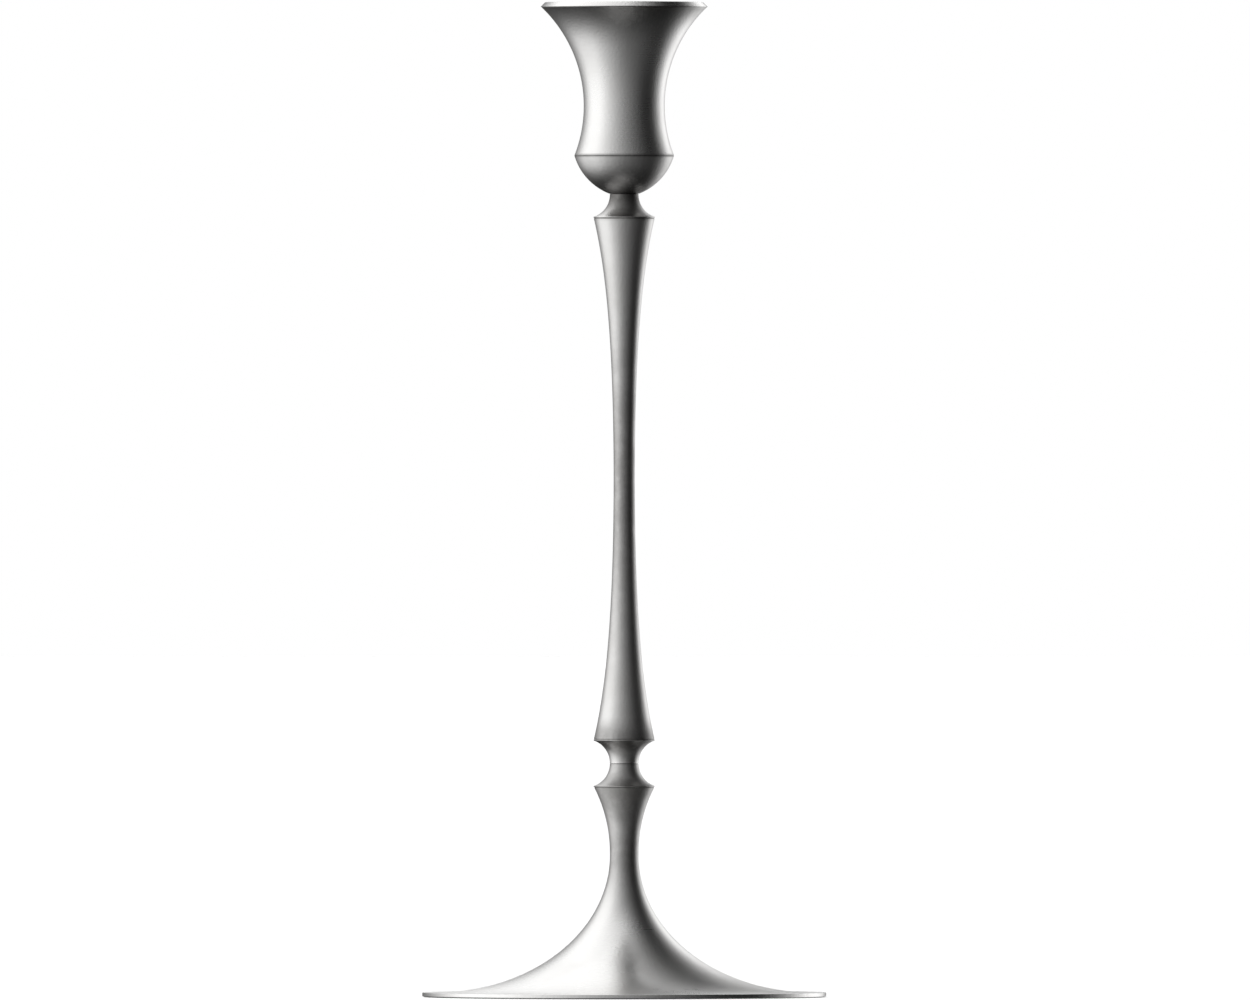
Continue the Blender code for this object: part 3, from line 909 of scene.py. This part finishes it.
cupScrewShape = {
    "shankR": 2.5,
    "pitch": 0.8,
    "headHigh": 3.2,
    "crown": 1.5,             # fall of the pan head from its top to its side
    "crownSteps": 7,
    "flat": 2.4,
    "slotWide": 1.3,
    "slotDeep": 1.6,
    "endChamfer": 0.7,
    "plain": 0.6,             # shank left plain under the head
    "soft": 0.12,
}


def makeCupScrew():
    s = cupScrewShape
    low, high, headR = span("cup_screw")
    seat = high - s["headHigh"]
    threadLow = low + s["endChamfer"]
    threadHigh = seat - s["plain"]
    outline = [(0.0, high), (s["flat"], high)]
    for step in range(1, s["crownSteps"] + 1):
        angle = radians(90 * step / s["crownSteps"])
        outline.append((s["flat"] + (headR - s["flat"]) * sin(angle), high - s["crown"] * (1 - cos(angle))))
    outline += [(headR, seat), (s["shankR"], seat)]
    outline += threadedRun(s["shankR"], threadLow, threadHigh, s["pitch"])
    outline += [(s["shankR"] - s["endChamfer"], low), (0.0, low)]

    def thread(r, z, angle):
        return threadDepth(r, z, angle, s["shankR"], threadLow, threadHigh, s["pitch"])

    piece = turned("cupScrew", outline, s["soft"], 48, cutIn=thread)
    carved(piece, slotCutter(2 * headR + 2, s["slotWide"], high - s["slotDeep"], high + 1))
    fitOut(piece, steel, "steel", "candlestick", "cup_screw")


baseBoltShape = {
    "shankR": 2.5,
    "pitch": 0.8,
    "threadLong": 22.0,
    "headHigh": 5.0,
    "headChamfer": 0.5,
    "knurls": 36,
    "knurlDeep": 0.13,
    "knurlRings": 6,          # rings of points down the knurled side
    "socketFlats": 4.0,
    "socketDeep": 2.8,
    "drillPoint": 0.7,        # cone that the drill left above the socket's floor
    "drillShare": 0.84,       # its radius, in the socket's
    "socketStep": 0.05,
    "endChamfer": 0.7,
    "topChamfer": 0.3,        # of the head, where it meets its washer
    "soft": 0.1,
}


def makeBaseBolt():
    s = baseBoltShape
    low, high, headR = span("base_bolt")
    seat = low + s["headHigh"]
    threadHigh = high - s["endChamfer"]
    threadLow = high - s["threadLong"]
    outline = [(0.0, high), (s["shankR"] - s["endChamfer"], high)]
    outline += threadedRun(s["shankR"], threadLow, threadHigh, s["pitch"])
    outline += [(s["shankR"], seat), (headR - s["topChamfer"], seat)]
    outline += [(headR, z) for z in lineUp(low + s["headChamfer"], seat - s["topChamfer"], s["knurlRings"])]
    outline += [(headR - s["headChamfer"], low), (0.0, low)]

    def marks(r, z, angle):
        if abs(r - headR) < 0.01 and low + s["headChamfer"] < z < seat - s["topChamfer"]:
            return s["knurlDeep"] * (1 - abs(cos(s["knurls"] / 2 * angle)))
        return threadDepth(r, z, angle, s["shankR"], threadLow, threadHigh, s["pitch"])

    piece = turned("baseBolt", outline, s["soft"], 4 * s["knurls"], cutIn=marks)
    corner = s["socketFlats"] / 2 / cos(radians(30))
    floor = low + s["socketDeep"]
    drilled = [
        (0.0, floor + s["drillPoint"]),
        (corner * s["drillShare"], floor),
        (corner, floor - s["socketStep"]),
        (corner, low - 1),
        (0.0, low - 1),
    ]
    carved(piece, turned("socketCutter", drilled, 0.0, 6))
    fitOut(piece, steel, "steel", "candlestick", "base_bolt")


coverScrewShape = {
    "shankR": 1.5,
    "pitch": 0.5,
    "rim": 0.15,              # upright edge of the countersunk head
    "slotWide": 0.8,
    "slotDeep": 0.5,
    "endChamfer": 0.4,
    "plain": 0.2,             # shank left plain under the head
    "soft": 0.06,
}


def makeCoverScrew(index):
    s = coverScrewShape
    node = f"cover_screw_{index}"
    corner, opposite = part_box(node)
    centre = ((corner.x + opposite.x) / 2 / mm, (corner.y + opposite.y) / 2 / mm)
    low, high, headR = span(node)
    neck = low + headR - s["shankR"] + s["rim"]
    threadLow = neck + s["plain"]
    threadHigh = high - s["endChamfer"]
    outline = [(0.0, high), (s["shankR"] - s["endChamfer"], high)]
    outline += threadedRun(s["shankR"], threadLow, threadHigh, s["pitch"])
    outline += [(s["shankR"], neck), (headR, low + s["rim"]), (headR, low), (0.0, low)]

    def thread(r, z, angle):
        return threadDepth(r, z, angle, s["shankR"], threadLow, threadHigh, s["pitch"])

    piece = turned(f"coverScrew.{index}", outline, s["soft"], 36, centre=centre, cutIn=thread)
    carved(piece, slotCutter(2 * headR + 1, s["slotWide"], low - 1, low + s["slotDeep"], centre))
    fitOut(piece, steel, "steel", "candlestick", node)
    return centre


makeCupScrew()
makeBaseBolt()
coverScrewPlaces = [makeCoverScrew(index) for index in (1, 2, 3)]
print("screws made")


# Washers

washerShape = {
    "hole": 2.8,
    "rolledEdge": 0.25,
    "splitGap": 7.0,          # degrees between the ends of a lock washer
    "splitLean": 9.0,         # slant of its cut ends
    "spring": 0.14,           # how far one end stands above the other, mm
    "wireEdge": 0.12,         # chamfer on the wire of a lock washer
    "steps": 96,
}


def makeFlatWasher(name, node):
    s = washerShape
    low, high, radius = span(node)
    outline = [(radius, high), (radius, low), (s["hole"], low), (s["hole"], high)]
    fitOut(turned(name, outline, s["rolledEdge"], s["steps"]), steel, "steel", "candlestick", node)


def makeLockWasher(name, node):
    # square wire wound once, with slanted ends that don't quite meet
    s = washerShape
    low, high, radius = span(node)
    top = high - s["spring"]
    edge = s["wireEdge"]
    section = [
        (s["hole"] + edge, low), (radius - edge, low), (radius, low + edge), (radius, top - edge),
        (radius - edge, top), (s["hole"] + edge, top), (s["hole"], top - edge), (s["hole"], low + edge),
    ]
    body = bmesh.new()
    rings = []
    for step in range(s["steps"] + 1):
        share = step / s["steps"]
        around = s["splitGap"] / 2 + (360 - s["splitGap"]) * share
        ring = []
        for r, z in section:
            angle = radians(around + s["splitLean"] * ((z - low) / (top - low) - 0.5))
            height = z + s["spring"] * share
            ring.append(body.verts.new((r * cos(angle) * mm, r * sin(angle) * mm, height * mm)))
        rings.append(ring)
    for ring, following in zip(rings, rings[1:]):
        for index in range(len(section)):
            after = (index + 1) % len(section)
            body.faces.new((ring[index], ring[after], following[after], following[index]))
    body.faces.new(rings[0])
    body.faces.new(rings[-1])
    fitOut(finished(name, body), steel, "steel", "candlestick", node)


makeFlatWasher("cupWasher", "cup_washer")
makeLockWasher("cupLockWasher", "cup_lock_washer")
makeFlatWasher("boltWasher", "bolt_washer")
makeLockWasher("boltLockWasher", "bolt_lock_washer")
print("washers made")


# Ballast, cover plate and felt

ballastShape = {
    "inset": 2.35,            # from the flare's outer surface
    "wellR": 6.5,
    "boltHole": 2.8,
    "screwHole": 1.8,
    "screwHoleTop": 9.0,
    "drillPoint": 0.8,
    "seatGap": 0.1,           # over the bolt's washer
    "castMarks": 0.16,        # how far the sand's marks go in, mm
    "marksScale": 0.55,
    "marksFrom": 8,           # radius inside which the casting is smooth
    "soft": 0.7,
}


def castDepth(r, z, angle):
    # how deep the sand's marks go
    s = ballastShape
    where = Vector((r * cos(angle), r * sin(angle), z)) * s["marksScale"]
    return s["castMarks"] * (0.5 + 0.5 * surfaceNoise.noise(where)) if r > s["marksFrom"] else 0.0


def makeBallast():
    s = ballastShape
    low, high, _ = span("ballast")
    seat = span("bolt_washer")[1] + s["seatGap"]
    topAngle = flareAngle(footShape, high, s["inset"])
    lowAngle = flareAngle(footShape, low, s["inset"])
    outline = flareSide(footShape, topAngle, lowAngle, 60, s["inset"])
    outline += [(s["wellR"], low), (s["wellR"], seat), (s["boltHole"], seat), (s["boltHole"], high)]
    piece = turned("ballast.cast", outline, s["soft"], 160, cutIn=castDepth)
    drills = []
    for place in coverScrewPlaces:
        top = s["screwHoleTop"]
        side = s["screwHole"]
        hole = [(0.0, top), (side, top - s["drillPoint"]), (side, low - 1), (0.0, low - 1)]
        drills.append(turned("drill", hole, 0.0, 32, centre=place))
    carved(piece, *drills)
    fitOut(piece, iron, "cast_iron", "candlestick", "ballast")


coverPlateShape = {
    "screwHole": 1.8,
    "sinkR": 3.0,
    "soft": 0.2,
}


def makeCoverPlate():
    s = coverPlateShape
    low, high, radius = span("cover_plate")
    piece = turned("coverPlate", [(0.0, high), (radius, high), (radius, low), (0.0, low)], s["soft"], 192)
    sinks = []
    for place in coverScrewPlaces:
        sink = [
            (0.0, high + 1), (s["screwHole"], high + 1), (s["screwHole"], low + s["sinkR"] - s["screwHole"]),
            (s["sinkR"] + 1, low - 1), (0.0, low - 1),
        ]
        sinks.append(turned("sink", sink, 0.0, 48, centre=place))
    carved(piece, *sinks)
    fitOut(piece, steel, "steel", "candlestick", "cover_plate")


feltShape = {
    "ring": 1.5,              # distance between the disc's rings, mm
    "fuzz": 0.10,             # unevenness of its faces
    "fuzzScale": 0.7,
    "ragged": 0.16,           # unevenness of its cut edge
    "raggedScale": 0.9,
    "soft": 0.35,
}


def makeFeltPad():
    s = feltShape
    low, high, radius = span("felt_pad")
    count = int(radius / s["ring"])
    faceRings = [radius * step / count for step in range(count + 1)]
    outline = [(r, high) for r in faceRings] + [(r, low) for r in reversed(faceRings)]

    def ragged(r, z, angle):
        where = Vector((r * cos(angle), r * sin(angle), 0.0)) * s["raggedScale"]
        return s["ragged"] * (0.5 + 0.5 * surfaceNoise.noise(where)) if r > radius - 1 else 0.0

    piece = turned("feltPad", outline, s["soft"], 240, cutIn=ragged)
    for vert in piece.data.vertices:
        sunk = s["fuzz"] * (0.5 + 0.5 * surfaceNoise.noise(vert.co / mm * s["fuzzScale"])) * mm
        vert.co.z += sunk if vert.co.z < (low + high) / 2 * mm else -sunk
    fitOut(piece, felt, "felt", "candlestick", "felt_pad")


makeBallast()
makeCoverPlate()
makeFeltPad()
print("ballast, plate and felt made")


# Camera

cameraSetup = {
    "lens": 1200.0,
    "sensor": 36.0,
    "frameWidth": 0.41467,    # metres across the view at the candlestick
    "aside": 0.000265,
    "height": 0.16485,
    "near": 0.5,
    "far": 60.0,
}


def makeCamera():
    s = cameraSetup
    data = bpy.data.cameras.new("camera")
    data.lens = s["lens"]
    data.sensor_width = s["sensor"]
    data.clip_start = s["near"]
    data.clip_end = s["far"]
    camera = bpy.data.objects.new("camera", data)
    distance = s["frameWidth"] * s["lens"] / s["sensor"]
    camera.location = (s["aside"], -distance, s["height"])
    camera.rotation_euler = (radians(90), 0.0, 0.0)
    bpy.context.scene.collection.objects.link(camera)
    bpy.context.scene.camera = camera


# Studio: the surroundings that the silver reflects, a broad light from above and a pale floor

studio = {
    "brightness": 1.16,
    # Set up round the candlestick, by angle: 0 at the camera, + to the right. It is dark behind.
    "softbox": (-110, -70),   # broad light on the left, even between these angles
    "flag": (60, 85),         # black flag on the right
    "strip": (130, 150),      # strip light on the far right
    "behind": 0.2,
    # Tones of softbox, front, flag and strip at each height. Tilt: 0 level, 90 overhead, more is behind.
    "belts": [
        (-90, 0.2, 0.1, 0.1, 1.0),
        (-50, 0.9, 0.4, 0.2, 1.0),
        (0, 1.0, 0.5, 0.15, 1.0),
        (45, 1.0, 0.5, 0.15, 1.0),
        (80, 1.0, 0.8, 0.15, 1.0),
        (120, 1.0, 1.0, 0.05, 1.0),
        (150, 1.0, 1.0, 0.0, 1.0),
    ],
    "lampStrength": 2.7,
    "lampAngle": 14.0,        # softness of the shadow on the floor
    "lampTilt": 36.0,         # from overhead towards the camera
    "floorColour": (0.9, 0.9, 0.9, 1.0),
    "floorRoughness": 0.85,
    "floorRadius": 30.0,      # metres
}


def mixValue(tree, share, first, second):
    node = put(tree, "ShaderNodeMix", data_type='FLOAT')
    feed(tree, share, node.inputs[0])
    feed(tree, first, node.inputs[2])
    feed(tree, second, node.inputs[3])
    return node.outputs[0]


def toneBelt(tree, around, softbox, front, flag, strip):
    # tones along one belt; around starts at 0 behind, passes the left, the front and the right, and ends at 1
    s = studio
    places = [(-180, s["behind"]), (0, front), (180, s["behind"])]
    for name, tone in (("softbox", softbox), ("flag", flag), ("strip", strip)):
        places += [(angle, tone) for angle in s[name]]
    ramp = put(tree, "ShaderNodeValToRGB")
    tree.links.new(around, ramp.inputs[0])
    stops = ramp.color_ramp.elements
    stops.remove(stops[-1])
    for index, (angle, tone) in enumerate(sorted(places)):
        stop = stops[0] if index == 0 else stops.new(angle / 360 + 0.5)
        stop.position = angle / 360 + 0.5
        stop.color = (tone, tone, tone, 1.0)
    return ramp.outputs[0]


def makeSurroundings():
    s = studio
    world = bpy.data.worlds.new("studio")
    bpy.context.scene.world = world
    world.use_nodes = True
    tree = world.node_tree
    tree.nodes.clear()
    heading = put(tree, "ShaderNodeTexCoord").outputs["Generated"]
    parts = put(tree, "ShaderNodeSeparateXYZ")
    tree.links.new(heading, parts.inputs[0])
    x, y, z = parts.outputs
    # Angles are measured halfway between a heading and the front, then doubled, so that all the belts close
    # at one place behind the candlestick.
    before = calc(tree, 'SUBTRACT', 1.0, y)
    around = calc(tree, 'ADD', calc(tree, 'MULTIPLY', calc(tree, 'ARCTAN2', x, before), 1 / pi), 0.5)
    reach = calc(tree, 'SUBTRACT', calc(tree, 'MULTIPLY', before, 2.0), calc(tree, 'MULTIPLY', z, z))
    tilt = calc(tree, 'MULTIPLY', calc(tree, 'ARCTAN2', z, calc(tree, 'SQRT', reach)), 360 / pi)
    lastTilt, *lowest = s["belts"][0]
    tone = toneBelt(tree, around, *lowest)
    for beltTilt, *tones in s["belts"][1:]:
        tone = mixValue(tree, ease(tree, tilt, lastTilt, beltTilt), tone, toneBelt(tree, around, *tones))
        lastTilt = beltTilt
    light = calc(tree, 'POWER', tone, 2.2)
    seen = put(tree, "ShaderNodeBackground")
    seen.inputs["Color"].default_value = (1.0, 1.0, 1.0, 1.0)
    reflected = put(tree, "ShaderNodeBackground")
    tree.links.new(light, reflected.inputs["Color"])
    reflected.inputs["Strength"].default_value = s["brightness"]
    choose = put(tree, "ShaderNodeMixShader")
    tree.links.new(put(tree, "ShaderNodeLightPath").outputs["Is Camera Ray"], choose.inputs[0])
    tree.links.new(reflected.outputs[0], choose.inputs[1])
    tree.links.new(seen.outputs[0], choose.inputs[2])
    tree.links.new(choose.outputs[0], put(tree, "ShaderNodeOutputWorld").inputs[0])


def makeLamp():
    s = studio
    data = bpy.data.lights.new("lamp", 'SUN')
    data.energy = s["lampStrength"]
    data.angle = radians(s["lampAngle"])
    lamp = bpy.data.objects.new("lamp", data)
    lamp.rotation_euler = (radians(s["lampTilt"]), 0.0, 0.0)
    lamp.visible_glossy = False
    bpy.context.scene.collection.objects.link(lamp)


def makeFloor():
    s = studio
    mesh = bpy.data.meshes.new("floor")
    plane = bmesh.new()
    bmesh.ops.create_circle(plane, cap_ends=True, segments=96, radius=s["floorRadius"])
    plane.to_mesh(mesh)
    plane.free()
    floor = bpy.data.objects.new("floor", mesh)
    material, tree, shader, position = startMaterial("pale floor")
    shader.inputs["Base Color"].default_value = s["floorColour"]
    shader.inputs["Roughness"].default_value = s["floorRoughness"]
    mesh.materials.append(material)
    bpy.context.scene.collection.objects.link(floor)
    floor.visible_glossy = False


makeCamera()
makeSurroundings()
makeLamp()
makeFloor()
bpy.context.scene.view_settings.view_transform = 'Standard'
print("studio made")
